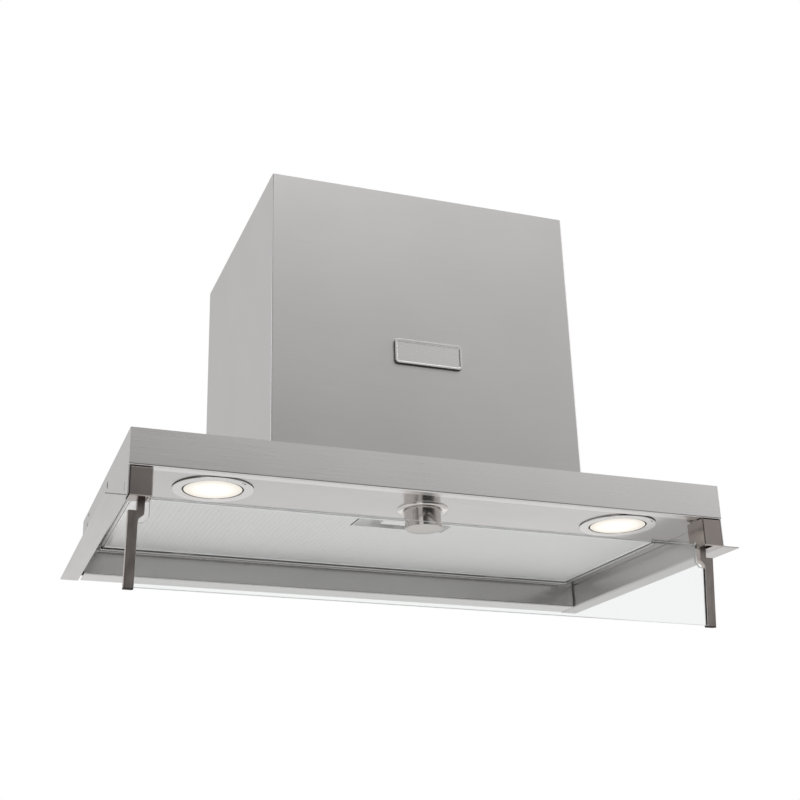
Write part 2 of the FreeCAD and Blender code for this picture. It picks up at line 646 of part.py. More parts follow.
def arm_end_caps():
    caps = []
    for side in (-1, 1):
        inner, outer = side * ARM_X[0], side * ARM_X[1]
        end = ARM_LEN + ARM_CAP_T
        outline = [(inner, ARM_LEN), (outer, ARM_LEN), (outer, end), (inner, end)]
        caps.append(leaned(visor_plate(outline, ARM_T)))
    return Part.makeCompound(caps)


def block_screws():
    """Two screws down through the control panel into each hinge block."""
    screws = []
    for side in (-1, 1):
        for x, y in BLOCK_SCREWS:
            spot = (side * x, y)
            screws.append(joined([rod((*spot, PANEL_Z - 6.0), BLOCK_SCREW_R, 6.0 + SHEET),
                                  rod((*spot, PANEL_Z + SHEET), 2.9, 1.8)]))
    return Part.makeCompound(screws)


# ---------------------------------------------------------------- grease filter
def filter_slab(inset, low, high):
    return block((inset - FILTER_X, FILTER_X - inset),
                 (FILTER_Y[0] + inset, FILTER_Y[1] - inset), (low, high))


def cup_room(gap):
    """Room for the latch cup, open towards the filter's front edge."""
    wide, _, rear = LATCH_CUP
    return block((-wide - gap, wide + gap), (FILTER_Y[0], rear + gap), FILTER_Z)


def nose_room(gap):
    wide = NOSE_HALF_W + gap
    return block((-wide, wide), (FILTER_Y[0], LATCH[1]), (NOSE_Z[0] - gap, NOSE_Z[1] + gap))


def filter_frame():
    """Channel frame with a raised bead under its lip and two tabs that rest on the rear ledge."""
    low, high = FILTER_Z
    skin = FILTER_SKIN
    frame = filter_slab(0, low, high)
    frame = rounded(frame, 3.0, lambda edge: runs_along(edge, Z_AXIS))
    frame = frame.cut([filter_slab(skin, low + skin, high - skin), filter_slab(FILTER_LIP, low, high)])
    bead = filter_slab(1.2, low - 1.1, low).cut(filter_slab(3.4, low - 1.1, low))
    rear = FILTER_Y[1]
    heel = rear - skin
    path = [(heel, FILTER_TAB_Z + FILTER_TAB_RISE), (heel, FILTER_TAB_Z), (rear + 6.4, FILTER_TAB_Z)]
    tabs = [folded_sheet(path, "YZ", x - 12.0, x + 12.0, skin) for x in (-180.0, 180.0)]
    wide, front, _ = LATCH_CUP
    cup = block((-wide, wide), (front, FILTER_Y[0] + FILTER_LIP), FILTER_Z)
    return joined([frame, bead] + tabs).cut([nose_room(0.4), cup])


def filter_face():
    low = FILTER_Z[0] + FILTER_SKIN
    return filter_slab(FILTER_SKIN + 1.0, low, low + 0.8).cut(cup_room(0.3))


def filter_mesh():
    """Four layers of knitted mesh, each a thin sheet."""
    layers = []
    for index in range(4):
        low = FILTER_Z[0] + 2.2 + index * 1.3
        layers.append(filter_slab(FILTER_SKIN + 1.2, low, low + FILTER_MESH_T).cut(cup_room(0.4)))
    return Part.makeCompound(layers)


def filter_back():
    high = FILTER_Z[1] - FILTER_SKIN
    return filter_slab(FILTER_SKIN + 1.0, high - 0.8, high).cut(cup_room(0.3))


def filter_latch_cup():
    """Pressed recess that holds the latch."""
    wide, front, rear = LATCH_CUP
    low, high = FILTER_Z[0], FILTER_Z[1]
    outside = block((-wide, wide), (front, rear), (low, high - 0.2))
    inside = block((1.0 - wide, wide - 1.0), (front + 1.0, rear - 1.0), (low, high - 1.2))
    return outside.cut([inside, nose_room(0.4)])


def filter_latch():
    """Sliding latch with a nose that points at the control panel's lip."""
    wide, front, rear = LATCH
    under = FILTER_Z[0] + 0.6
    grip = block((-wide, wide), (front, rear), (under, under + 6.2))
    grip = rounded(grip, 1.2, lambda edge: runs_along(edge, X_AXIS) and edge.BoundBox.ZMax < under + 0.1)
    nose = block((-NOSE_HALF_W, NOSE_HALF_W), (PANEL_REAR + 0.5, front), NOSE_Z)
    pocket = rod((0, rear - 8.0, LATCH_SPRING_Z), LATCH_SPRING_R + 0.5, 8.0, Y_AXIS)
    return grip.fuse(nose).cut(pocket)


def latch_spring():
    """Short return spring on the cup's rear wall; its free end stands in the latch's pocket."""
    _, _, rear = LATCH_CUP
    length = rear - 1.0 - LATCH[2] + 2.0
    coils = 6
    helix = Part.makeHelix(length / coils, length - 0.6, LATCH_SPRING_R - 0.3)
    start = FreeCAD.Vector(LATCH_SPRING_R - 0.3, 0, 0)
    section = Part.Wire(Part.makeCircle(0.3, start, Y_AXIS))
    coil = Part.Wire(helix).makePipeShell([section], True, True)
    coil.rotate(FreeCAD.Vector(0, 0, 0), X_AXIS, 90)
    coil.translate(FreeCAD.Vector(0, rear - 1.3, LATCH_SPRING_Z))
    return coil


# ---------------------------------------------------------------- all pieces
def pairs():
    """The pieces that come as a right and a left one."""
    makers = {
        "side_panel": side_panel_right,
        "side_ledge": side_ledge_right,
        "scroll_cheek": scroll_cheek_right,
        "hinge_block": hinge_block_right,
        "hinge_pin": hinge_pin_right,
        "visor_arm": visor_arm_right,
    }
    pieces = {}
    for name, maker in makers.items():
        right = maker()
        pieces[name + "_right"] = right
        pieces[name + "_left"] = mirrored(right)
    for side, x in (("left", -LAMP_X), ("right", LAMP_X)):
        for maker in (lamp_bezel, lamp_glass, lamp_can, lamp_bulb):
            pieces[f"{maker.__name__}_{side}"] = maker(x)
    pieces["flap_rear"] = flap(1, (-46.0, 6.0))
    pieces["flap_front"] = flap(-1, (-24.0, 28.0))
    return pieces


SINGLE = (
    canopy_deck, fascia_panel, control_panel, rear_panel, rear_rail,
    motor_housing_shell, motor_housing_back, motor_housing_top, badge_plate, housing_screws,
    scroll_band, motor_spider, fan_motor, motor_shaft, impeller,
    outlet_collar, collar_screws, flap_pin, terminal_box, cable_gland, run_capacitor, led_driver,
    knob_ring, control_knob, knob_spindle, speed_switch, switch_nut,
    hinge_washers, visor_glass, arm_end_caps, block_screws,
    filter_frame, filter_face, filter_mesh, filter_back, filter_latch_cup, filter_latch, latch_spring,
)


def main():
    os.makedirs("parts", exist_ok=True)
    pieces = {maker.__name__: maker() for maker in SINGLE}
    pieces.update(pairs())
    for name, shape in sorted(pieces.items()):
        print(name, "valid" if shape.isValid() else "NOT VALID", len(shape.Solids), "solids",
              round(shape.Volume / 1000, 2), "cm3")
        shape.exportStep(f"parts/{name}.step")
    print(len(pieces), "nodes")


main()
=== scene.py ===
import json
import math

import bmesh
import bpy
from mathutils import Matrix, Vector


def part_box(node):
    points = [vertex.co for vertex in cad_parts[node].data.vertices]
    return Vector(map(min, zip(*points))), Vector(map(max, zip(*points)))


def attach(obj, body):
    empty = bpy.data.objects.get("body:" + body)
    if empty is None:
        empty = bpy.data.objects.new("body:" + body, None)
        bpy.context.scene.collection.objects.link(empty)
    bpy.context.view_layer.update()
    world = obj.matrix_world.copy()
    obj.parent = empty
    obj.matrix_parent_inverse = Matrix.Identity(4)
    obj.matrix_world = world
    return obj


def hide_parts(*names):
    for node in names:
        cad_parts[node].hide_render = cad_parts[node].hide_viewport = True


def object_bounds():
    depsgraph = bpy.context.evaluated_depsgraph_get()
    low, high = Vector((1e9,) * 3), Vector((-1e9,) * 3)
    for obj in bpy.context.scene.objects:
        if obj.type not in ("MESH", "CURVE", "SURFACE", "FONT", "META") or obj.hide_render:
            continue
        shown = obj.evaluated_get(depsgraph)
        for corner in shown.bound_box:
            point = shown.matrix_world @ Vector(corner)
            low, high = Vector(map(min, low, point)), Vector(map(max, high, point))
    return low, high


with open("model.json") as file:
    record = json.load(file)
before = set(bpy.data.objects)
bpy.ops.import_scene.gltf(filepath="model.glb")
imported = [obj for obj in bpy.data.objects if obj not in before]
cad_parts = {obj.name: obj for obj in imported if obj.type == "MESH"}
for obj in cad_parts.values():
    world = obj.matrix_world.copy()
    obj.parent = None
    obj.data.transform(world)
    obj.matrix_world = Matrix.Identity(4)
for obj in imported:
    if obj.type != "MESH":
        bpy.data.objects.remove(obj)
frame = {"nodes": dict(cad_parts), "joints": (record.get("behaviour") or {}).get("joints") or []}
CAD_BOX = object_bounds()

bl_info = {
    "name": "Built-in Hood With Glass Visor",
    "version": (1, 0, 0),
    "blender": (4, 5, 0),
    "location": "View3D > Sidebar > Hood",
    "description": "Finishes and detailed pieces for a cabinet hood with a folding glass visor",
    "category": "Add Mesh",
}

MM = 0.001
JOINTS = {joint["name"]: joint for joint in frame["joints"]}
PIVOT = Vector(JOINTS["visor_fold"]["pos_m"])
X, Y, Z = Vector((1, 0, 0)), Vector((0, 1, 0)), Vector((0, 0, 1))


# ------------------------------------------------------------------ sizes and finishes
class HoodSizes(bpy.types.PropertyGroup):
    """Sizes that the CAD nodes don't give."""

    sheet_bevel: bpy.props.FloatProperty(
        name="Edge Break", description="Rounding of cast and pressed edges",
        default=0.5 * MM, unit="LENGTH")
    hole_pitch: bpy.props.FloatProperty(
        name="Filter Pitch", description="Distance between the filter's holes",
        default=5.0 * MM, unit="LENGTH")
    hole_share: bpy.props.FloatProperty(
        name="Hole Share", description="Hole radius as a share of the pitch",
        default=0.09, min=0.05, max=0.45, subtype="FACTOR")
    plate_border: bpy.props.FloatProperty(
        name="Plate Border", description="Width of the name plate's raised border",
        default=2.0 * MM, unit="LENGTH")
    visor_lean: bpy.props.FloatProperty(
        name="Visor Lean", description="Backward lean of the hanging visor",
        default=math.radians(6.26), subtype="ANGLE")


class HoodColours(bpy.types.PropertyGroup):
    """Base colours of the finishes."""

    steel: bpy.props.FloatVectorProperty(
        name="Steel", description="Brushed stainless sheet", subtype="COLOR", size=3,
        default=(0.60, 0.59, 0.585))
    cast: bpy.props.FloatVectorProperty(
        name="Cast Metal", description="Dark nickel of the hinge blocks and arms", subtype="COLOR",
        size=3, default=(0.40, 0.36, 0.34))
    knob: bpy.props.FloatVectorProperty(
        name="Knob", description="Turned knob", subtype="COLOR", size=3, default=(0.74, 0.70, 0.68))
    filter: bpy.props.FloatVectorProperty(
        name="Filter", description="Aluminium of the grease filter", subtype="COLOR", size=3,
        default=(0.93, 0.93, 0.93))
    glow: bpy.props.FloatVectorProperty(
        name="Lamp Light", description="Light of the lamps", subtype="COLOR", size=3,
        default=(1.0, 0.93, 0.84))


def sizes():
    return bpy.context.scene.hood_sizes


def colours():
    return bpy.context.scene.hood_colours


# ------------------------------------------------------------------ material helpers
def new_material(name):
    material = bpy.data.materials.new(name)
    material.use_nodes = True
    return material, material.node_tree.nodes, material.node_tree.links


def noise_on(nodes, links, scale, detail=3.0, stretch=(1, 1, 1)):
    """Noise on Object coordinates, stretched by the Mapping node's scale."""
    place = nodes.new("ShaderNodeTexCoord")
    mapping = nodes.new("ShaderNodeMapping")
    mapping.inputs["Scale"].default_value = stretch
    noise = nodes.new("ShaderNodeTexNoise")
    noise.inputs["Scale"].default_value = scale
    noise.inputs["Detail"].default_value = detail
    links.new(place.outputs["Object"], mapping.inputs["Vector"])
    links.new(mapping.outputs["Vector"], noise.inputs["Vector"])
    return noise.outputs["Fac"]


def ranged(nodes, links, value, low, high, from_low=0.3, from_high=0.7):
    """The value spread between low and high."""
    spread = nodes.new("ShaderNodeMapRange")
    spread.inputs["From Min"].default_value = from_low
    spread.inputs["From Max"].default_value = from_high
    spread.inputs["To Min"].default_value = low
    spread.inputs["To Max"].default_value = high
    links.new(value, spread.inputs["Value"])
    return spread.outputs["Result"]


def shade(nodes, links, value, colour, spread):
    """A colour that varies about its middle by plus and minus spread."""
    mix = nodes.new("ShaderNodeMix")
    mix.data_type = "RGBA"
    mix.inputs["A"].default_value = (*[c * (1 - spread) for c in colour], 1)
    mix.inputs["B"].default_value = (*[min(1, c * (1 + spread)) for c in colour], 1)
    links.new(value, mix.inputs["Factor"])
    return mix.outputs["Result"]


def bump(nodes, links, value, strength, distance):
    node = nodes.new("ShaderNodeBump")
    node.inputs["Strength"].default_value = strength
    node.inputs["Distance"].default_value = distance
    links.new(value, node.inputs["Height"])
    return node.outputs["Normal"]


def brushed_metal(name, colour, rough, stretch, spread=0.05, metallic=1.0):
    """Metal with a fine grain; stretch is long across the grain and short along it."""
    material, nodes, links = new_material(name)
    shader = nodes["Principled BSDF"]
    shader.inputs["Metallic"].default_value = metallic
    grain = noise_on(nodes, links, 1.0, 4.0, stretch)
    cloud = noise_on(nodes, links, 9.0, 2.0)
    both = nodes.new("ShaderNodeMath")
    both.operation = "MULTIPLY_ADD"
    both.inputs[1].default_value = 0.7
    links.new(grain, both.inputs[0])
    dim = ranged(nodes, links, cloud, 0.0, 0.3)
    links.new(dim, both.inputs[2])
    links.new(shade(nodes, links, ranged(nodes, links, both.outputs[0], 0, 1, 0.2, 0.8), colour, spread),
              shader.inputs["Base Color"])
    links.new(ranged(nodes, links, grain, rough - 0.04, rough + 0.05), shader.inputs["Roughness"])
    links.new(bump(nodes, links, grain, 0.03, 0.0002), shader.inputs["Normal"])
    return material


GRAIN_X = (14, 900, 900)
GRAIN_Y = (900, 14, 900)
GRAIN_Z = (900, 900, 14)


def polished_metal(name, colour, rough, spots=60.0):
    """Bright plated metal with faint wear."""
    material, nodes, links = new_material(name)
    shader = nodes["Principled BSDF"]
    shader.inputs["Metallic"].default_value = 1.0
    wear = noise_on(nodes, links, spots, 4.0)
    links.new(shade(nodes, links, ranged(nodes, links, wear, 0, 1), colour, 0.07), shader.inputs["Base Color"])
    links.new(ranged(nodes, links, wear, rough, rough + 0.09), shader.inputs["Roughness"])
    links.new(bump(nodes, links, wear, 0.04, 0.0002), shader.inputs["Normal"])
    return material


def turned_metal(name, colour, rough, centre, pitch=0.0006):
    """Metal with concentric turning marks about a vertical axis."""
    material, nodes, links = new_material(name)
    shader = nodes["Principled BSDF"]
    shader.inputs["Metallic"].default_value = 1.0
    place = nodes.new("ShaderNodeTexCoord")
    mapping = nodes.new("ShaderNodeMapping")
    mapping.inputs["Location"].default_value = (-centre[0], -centre[1], 0)
    rings = nodes.new("ShaderNodeTexWave")
    rings.wave_type = "RINGS"
    rings.rings_direction = "Z"
    rings.inputs["Scale"].default_value = 1 / (pitch * 20)
    rings.inputs["Distortion"].default_value = 0.6
    rings.inputs["Detail"].default_value = 3.0
    links.new(place.outputs["Object"], mapping.inputs["Vector"])
    links.new(mapping.outputs["Vector"], rings.inputs["Vector"])
    ring = rings.outputs["Fac"]
    links.new(shade(nodes, links, ring, colour, 0.06), shader.inputs["Base Color"])
    links.new(ranged(nodes, links, ring, rough, rough + 0.08, 0, 1), shader.inputs["Roughness"])
    links.new(bump(nodes, links, ring, 0.05, 0.0002), shader.inputs["Normal"])
    return material


def moulded_plastic(name, colour, rough, grain=700.0):
    """Spark-eroded moulded plastic."""
    material, nodes, links = new_material(name)
    shader = nodes["Principled BSDF"]
    fine = noise_on(nodes, links, grain, 2.0)
    cloud = noise_on(nodes, links, 25.0, 3.0)
    links.new(shade(nodes, links, ranged(nodes, links, cloud, 0, 1), colour, 0.12), shader.inputs["Base Color"])
    links.new(ranged(nodes, links, fine, rough - 0.06, rough + 0.08), shader.inputs["Roughness"])
    links.new(bump(nodes, links, fine, 0.15, 0.0002), shader.inputs["Normal"])
    return material


def galvanised_sheet(name):
    """Zinc-coated sheet with its spangle."""
    material, nodes, links = new_material(name)
    shader = nodes["Principled BSDF"]
    shader.inputs["Metallic"].default_value = 1.0
    place = nodes.new("ShaderNodeTexCoord")
    spangle = nodes.new("ShaderNodeTexVoronoi")
    spangle.inputs["Scale"].default_value = 140.0
    links.new(place.outputs["Object"], spangle.inputs["Vector"])
    tone = nodes.new("ShaderNodeSeparateColor")
    links.new(spangle.outputs["Color"], tone.inputs["Color"])
    flake = tone.outputs["Red"]
    links.new(shade(nodes, links, flake, (0.58, 0.60, 0.61), 0.12), shader.inputs["Base Color"])
    links.new(ranged(nodes, links, flake, 0.34, 0.5, 0, 1), shader.inputs["Roughness"])
    return material


def clear_glass(name, tint, rough=0.0):
    """Clear pane with a trace of smear on its faces."""
    material, nodes, links = new_material(name)
    shader = nodes["Principled BSDF"]
    shader.inputs["Base Color"].default_value = (*tint, 1)
    shader.inputs["Transmission Weight"].default_value = 1.0
    shader.inputs["IOR"].default_value = 1.45
    smear = noise_on(nodes, links, 6.0, 4.0, (1, 1, 3))
    links.new(ranged(nodes, links, smear, rough, rough + 0.03), shader.inputs["Roughness"])
    return material


def ground_glass(name):
    """The pane's ground edges, which gather light."""
    material, nodes, links = new_material(name)
    shader = nodes["Principled BSDF"]
    shader.inputs["Transmission Weight"].default_value = 0.35
    grind = noise_on(nodes, links, 900.0, 2.0)
    links.new(shade(nodes, links, ranged(nodes, links, grind, 0, 1), (0.86, 0.91, 0.89), 0.05),
              shader.inputs["Base Color"])
    links.new(ranged(nodes, links, grind, 0.4, 0.6), shader.inputs["Roughness"])
    return material


def lit_glass(name, strength, centre, radius):
    """Frosted lamp glass, lit from behind, brightest in its middle."""
    material, nodes, links = new_material(name)
    shader = nodes["Principled BSDF"]
    shader.inputs["Roughness"].default_value = 0.35
    place = nodes.new("ShaderNodeTexCoord")
    distance = nodes.new("ShaderNodeVectorMath")
    distance.operation = "DISTANCE"
    distance.inputs[1].default_value = centre
    links.new(place.outputs["Object"], distance.inputs[0])
    links.new(ranged(nodes, links, distance.outputs["Value"], strength, 0.62 * strength, 0.5 * radius, radius),
              shader.inputs["Emission Strength"])
    frost = noise_on(nodes, links, 180.0, 3.0)
    glow = colours().glow
    links.new(shade(nodes, links, ranged(nodes, links, frost, 0, 1), glow, 0.03), shader.inputs["Emission Color"])
    skin = [c * 0.35 for c in glow]
    links.new(shade(nodes, links, ranged(nodes, links, frost, 0, 1), skin, 0.03), shader.inputs["Base Color"])
    links.new(bump(nodes, links, frost, 0.1, 0.0002), shader.inputs["Normal"])
    return material


def dress(obj, material):
    obj.data.materials.clear()
    obj.data.materials.append(material)
    for face in obj.data.polygons:
        face.material_index = 0


# ------------------------------------------------------------------ modelling helpers
def clear_selection():
    if bpy.context.object and bpy.context.object.mode != "OBJECT":
        bpy.ops.object.mode_set(mode="OBJECT")
    bpy.ops.object.select_all(action="DESELECT")


def make_active(obj):
    clear_selection()
    obj.select_set(True)
    bpy.context.view_layer.objects.active = obj


def settle(obj):
    """Puts the object's place, turn and size into its mesh."""
    make_active(obj)
    bpy.ops.object.transform_apply(location=True, rotation=True, scale=True)
    return obj


def box_between(name, low, high):
    clear_selection()
    centre = [(a + b) / 2 for a, b in zip(low, high)]
    size = [b - a for a, b in zip(low, high)]
    bpy.ops.mesh.primitive_cube_add(size=1, location=centre, scale=size)
    obj = bpy.context.object
    obj.name = name
    return settle(obj)


def disc_at(name, centre, radius, depth, sides=96, axis=Z):
    clear_selection()
    turn = axis.to_track_quat("Z", "Y").to_euler()
    bpy.ops.mesh.primitive_cylinder_add(
        vertices=sides, radius=radius, depth=depth, location=centre, rotation=turn)
    obj = bpy.context.object
    obj.name = name
    return settle(obj)


def pick_faces(obj, test):
    """Selects the faces that test accepts and enters edit mode on them."""
    make_active(obj)
    for item in (obj.data.vertices, obj.data.edges, obj.data.polygons):
        for part in item:
            part.select = False
    for face in obj.data.polygons:
        face.select = bool(test(face))
    bpy.ops.object.mode_set(mode="EDIT")
    bpy.ops.mesh.select_mode(type="FACE")


def leave():
    bpy.ops.object.mode_set(mode="OBJECT")


def inset(obj, test, thickness, depth=0.0):
    pick_faces(obj, test)
    bpy.ops.mesh.inset(thickness=thickness, depth=depth)
    leave()


def push(obj, test, vector):
    """Extrudes the chosen faces along vector."""
    pick_faces(obj, test)
    bpy.ops.mesh.extrude_region_move(TRANSFORM_OT_translate={"value": vector})
    leave()


def apply_bevel(obj, width, segments=3, angle=30.0):
    make_active(obj)
    bevel = obj.modifiers.new("edges", "BEVEL")
    bevel.width = width
    bevel.segments = segments
    bevel.limit_method = "ANGLE"
    bevel.angle_limit = math.radians(angle)
    bevel.use_clamp_overlap = True
    bpy.ops.object.modifier_apply(modifier=bevel.name)


def smooth(obj, angle=35.0):
    """Smooth shading in which large flat faces stay flat beside their rounded edges."""
    make_active(obj)
    bpy.ops.object.shade_smooth_by_angle(angle=math.radians(angle))
    level = obj.modifiers.new("flats", "WEIGHTED_NORMAL")
    level.keep_sharp = True
    level.weight = 100
    bpy.ops.object.modifier_apply(modifier=level.name)


def profile_ring(name, centre, profile, steps=96):
    """A closed outline of (radius, height) points spun once about the vertical axis through centre."""
    clear_selection()
    mesh = bpy.data.meshes.new(name)
    points = [(centre[0] + r, centre[1], z) for r, z in profile]
    count = len(points)
    mesh.from_pydata(points, [(i, (i + 1) % count) for i in range(count)], [])
    obj = bpy.data.objects.new(name, mesh)
    bpy.context.scene.collection.objects.link(obj)
    make_active(obj)
    bpy.ops.object.mode_set(mode="EDIT")
    bpy.ops.mesh.select_all(action="SELECT")
    bpy.ops.mesh.spin(steps=steps, angle=2 * math.pi, center=(centre[0], centre[1], 0), axis=(0, 0, 1))
    bpy.ops.mesh.select_all(action="SELECT")
    bpy.ops.mesh.remove_doubles(threshold=0.00001)
    bpy.ops.mesh.normals_make_consistent(inside=False)
    leave()
    return obj


def round_rail(name, low, high, height, radius, open_front=False):
    """A round bar along a rectangle with rounded corners, or along three of its sides."""
    clear_selection()
    centre = ((low[0] + high[0]) / 2, (low[1] + high[1]) / 2, height)
    bpy.ops.mesh.primitive_plane_add(size=1, location=centre)
    loop = bpy.context.object
    loop.name = name
    loop.scale = (high[0] - low[0], high[1] - low[1], 1)
    settle(loop)
    bpy.ops.object.mode_set(mode="EDIT")
    bpy.ops.mesh.select_all(action="SELECT")
    bpy.ops.mesh.delete(type="ONLY_FACE")
    leave()
    for edge in loop.data.edges:
        edge.select = open_front and all(loop.data.vertices[i].co.y < centre[1] for i in edge.vertices)
    bpy.ops.object.mode_set(mode="EDIT")
    bpy.ops.mesh.select_mode(type="EDGE")
    bpy.ops.mesh.delete(type="EDGE")
    bpy.ops.mesh.select_mode(type="VERT")
    leave()
    for point in loop.data.vertices:
        point.select = not open_front or point.co.y > centre[1]
    bpy.ops.object.mode_set(mode="EDIT")
    bpy.ops.mesh.bevel(offset=3.0 * MM, segments=6, affect="VERTICES")
    leave()
    bpy.ops.object.convert(target="CURVE")
    path = bpy.context.object
    path.data.bevel_depth = radius
    path.data.bevel_resolution = 4
    path.data.use_fill_caps = True
    bpy.ops.object.convert(target="MESH")
    rail = bpy.context.object
    smooth(rail, 60.0)
    return rail


def clean_copy(node, name):
    """A merged copy of a CAD node's mesh, to be worked on."""
    source = frame["nodes"][node]
    obj = bpy.data.objects.new(name, source.data.copy())
    bpy.context.scene.collection.objects.link(obj)
    make_active(obj)
    bpy.ops.object.mode_set(mode="EDIT")
    bpy.ops.mesh.select_all(action="SELECT")
    bpy.ops.mesh.remove_doubles(threshold=0.000005)
    bpy.ops.mesh.dissolve_limited(angle_limit=math.radians(0.5))
    leave()
    if obj.data.has_custom_normals:
        bpy.ops.mesh.customdata_custom_splitnormals_clear()
    return obj


def weighted_bevel(piece, chosen, width, segments=3):
    """Round only the edges whose two end points are both chosen."""
    mesh = piece.data
    weight = mesh.attributes.new("bevel_weight_edge", "FLOAT", "EDGE")
    for edge in mesh.edges:
        weight.data[edge.index].value = float(all(chosen(mesh.vertices[i].co) for i in edge.vertices))
    bevel = piece.modifiers.new("edges", "BEVEL")
    bevel.width = width
    bevel.segments = segments
    bevel.limit_method = "WEIGHT"
    make_active(piece)
    bpy.ops.object.modifier_apply(modifier=bevel.name)
    smooth(piece)


def bevelled_copy(node, body, slot, material, width, segments=3, angle=30.0):
    """The node's shape with its edges broken, which stands for the node."""
    piece = clean_copy(node, node + "_piece")
    apply_bevel(piece, width, segments, angle)
    smooth(piece)
    return hand_over(piece, body, slot, material, node)


def hand_over(piece, body, slot, material, *replaced):
    dress(piece, material)
    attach(piece, body)
    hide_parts(*replaced)
    return piece


def side_of(centre):
    return "left" if centre.x < 0 else "right"


def middle(node):
    low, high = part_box(node)
    return (low + high) / 2


# ------------------------------------------------------------------ operators
class HOOD_OT_sheet_finishes(bpy.types.Operator):
    """Brushed finishes on the canopy's and the housing's sheet metal"""

    bl_idname = "hood.sheet_finishes"
    bl_label = "Sheet Finishes"

    def execute(self, context):
        steel = colours().steel
        along_x = brushed_metal("brushed_along_width", steel, 0.30, GRAIN_X)
        along_y = brushed_metal("brushed_along_depth", steel, 0.32, GRAIN_Y)
        panel = brushed_metal("brushed_control_panel", [c * 0.88 for c in steel], 0.2, GRAIN_X, 0.03)
        # Painted shade: the steel is made darker (0.88) for the side ledges and the rear rail, standing in for the
        # shade inside the filter recess.
        recess = brushed_metal("brushed_recess_painted_shade", [c * 0.88 for c in steel], 0.22, GRAIN_X, 0.04)
        fascia = brushed_metal("brushed_fascia", [c * 1.3 for c in steel], 0.30, GRAIN_X, 0.05)
        housing = brushed_metal("brushed_housing", steel, 0.36, GRAIN_X, 0.04)
        finishes = {
            "fascia_panel": fascia, "rear_rail": recess, "rear_panel": along_x, "canopy_deck": along_x,
            "control_panel": panel,
            "side_panel_left": along_y, "side_panel_right": along_y,
            "side_ledge_left": recess, "side_ledge_right": recess,
            "motor_housing_shell": housing, "motor_housing_back": housing, "motor_housing_top": housing,
        }
        for node, material in finishes.items():
            dress(frame["nodes"][node], material)
        self.recess_hem(along_x)
        return {"FINISHED"}

    def recess_hem(self, material):
        """Rolled hem on the free edges of the three ledges around the filter."""
        ledge_low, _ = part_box("side_ledge_right")
        rear_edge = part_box("rear_rail")[0].y
        radius = 1.1 * MM
        side = ledge_low.x + radius
        hem = round_rail("recess_hem", (-side, ledge_low.y + radius), (side, rear_edge + radius),
                         ledge_low.z, radius, open_front=True)
        dress(hem, material)
        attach(hem, "root")


class HOOD_OT_hidden_finishes(bpy.types.Operator):
    """Finishes of the blower, the electrics and the fasteners"""

    bl_idname = "hood.hidden_finishes"
    bl_label = "Inner Finishes"

    def execute(self, context):
        zinc = galvanised_sheet("zinc_sheet")
        black = moulded_plastic("black_moulded", (0.035, 0.035, 0.038), 0.48)
        white = moulded_plastic("white_moulded", (0.78, 0.78, 0.75), 0.42)
        lacquer = moulded_plastic("motor_lacquer", (0.06, 0.06, 0.065), 0.3, 300.0)
        plated = polished_metal("zinc_plated", (0.62, 0.62, 0.61), 0.25, 220.0)
        groups = {
            zinc: ("scroll_band", "scroll_cheek_left", "scroll_cheek_right", "motor_spider"),
            black: ("impeller", "flap_front", "flap_rear", "terminal_box", "speed_switch",
                    "lamp_can_left", "lamp_can_right", "outlet_collar", "cable_gland"),
            white: ("run_capacitor", "led_driver"),
            lacquer: ("fan_motor",),
            plated: ("motor_shaft", "flap_pin", "collar_screws", "housing_screws", "block_screws",
                     "hinge_washers", "hinge_pin_left", "hinge_pin_right", "switch_nut", "knob_spindle",
                     "latch_spring"),
        }
        for material, nodes in groups.items():
            for node in nodes:
                dress(frame["nodes"][node], material)
        return {"FINISHED"}


class HOOD_OT_name_plate(bpy.types.Operator):
    """Blank plate on the housing with a raised rounded border"""

    bl_idname = "hood.name_plate"
    bl_label = "Name Plate"

    def execute(self, context):
        low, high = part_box("badge_plate")
        plate = box_between("name_plate", low, high)
        pick_faces(plate, lambda face: False)
        bpy.ops.mesh.select_mode(type="EDGE")
        leave()
        for edge in plate.data.edges:
            a, b = (plate.data.vertices[i].co for i in edge.vertices)
            edge.select = abs((a - b).normalized().y) > 0.9
        bpy.ops.object.mode_set(mode="EDIT")
        bpy.ops.mesh.bevel(offset=3.5 * MM, segments=8, affect="EDGES")
        leave()

        def front(face):
            return face.normal.y < -0.9

        inset(plate, front, sizes().plate_border)
        middle_x, middle_z = (low.x + high.x) / 2, (low.z + high.z) / 2

        def centre_face(face):
            return front(face) and abs(face.center.x - middle_x) < MM and abs(face.center.z - middle_z) < MM

        inset(plate, centre_face, 0.5 * MM, -1.1 * MM)
        apply_bevel(plate, 0.25 * MM, 2)
        smooth(plate)
        satin = brushed_metal("plate_satin", (0.66, 0.655, 0.65), 0.27, GRAIN_X, 0.03)
        hand_over(plate, "root", "badge_metal", satin, "badge_plate")
        # Painted shade: the plate's outer side faces get a near-black material that stands in for the shade along
        # the plate's edges.
        plate.data.materials.append(brushed_metal("plate_edge_painted_shade", (0.10, 0.095, 0.09), 0.5, GRAIN_X, 0.05))
        for face in plate.data.polygons:
            outward = face.center - Vector((middle_x, face.center.y, middle_z))
            if abs(face.normal.y) < 0.8 and face.normal.dot(outward) > 0:
                face.material_index = 1
        return {"FINISHED"}


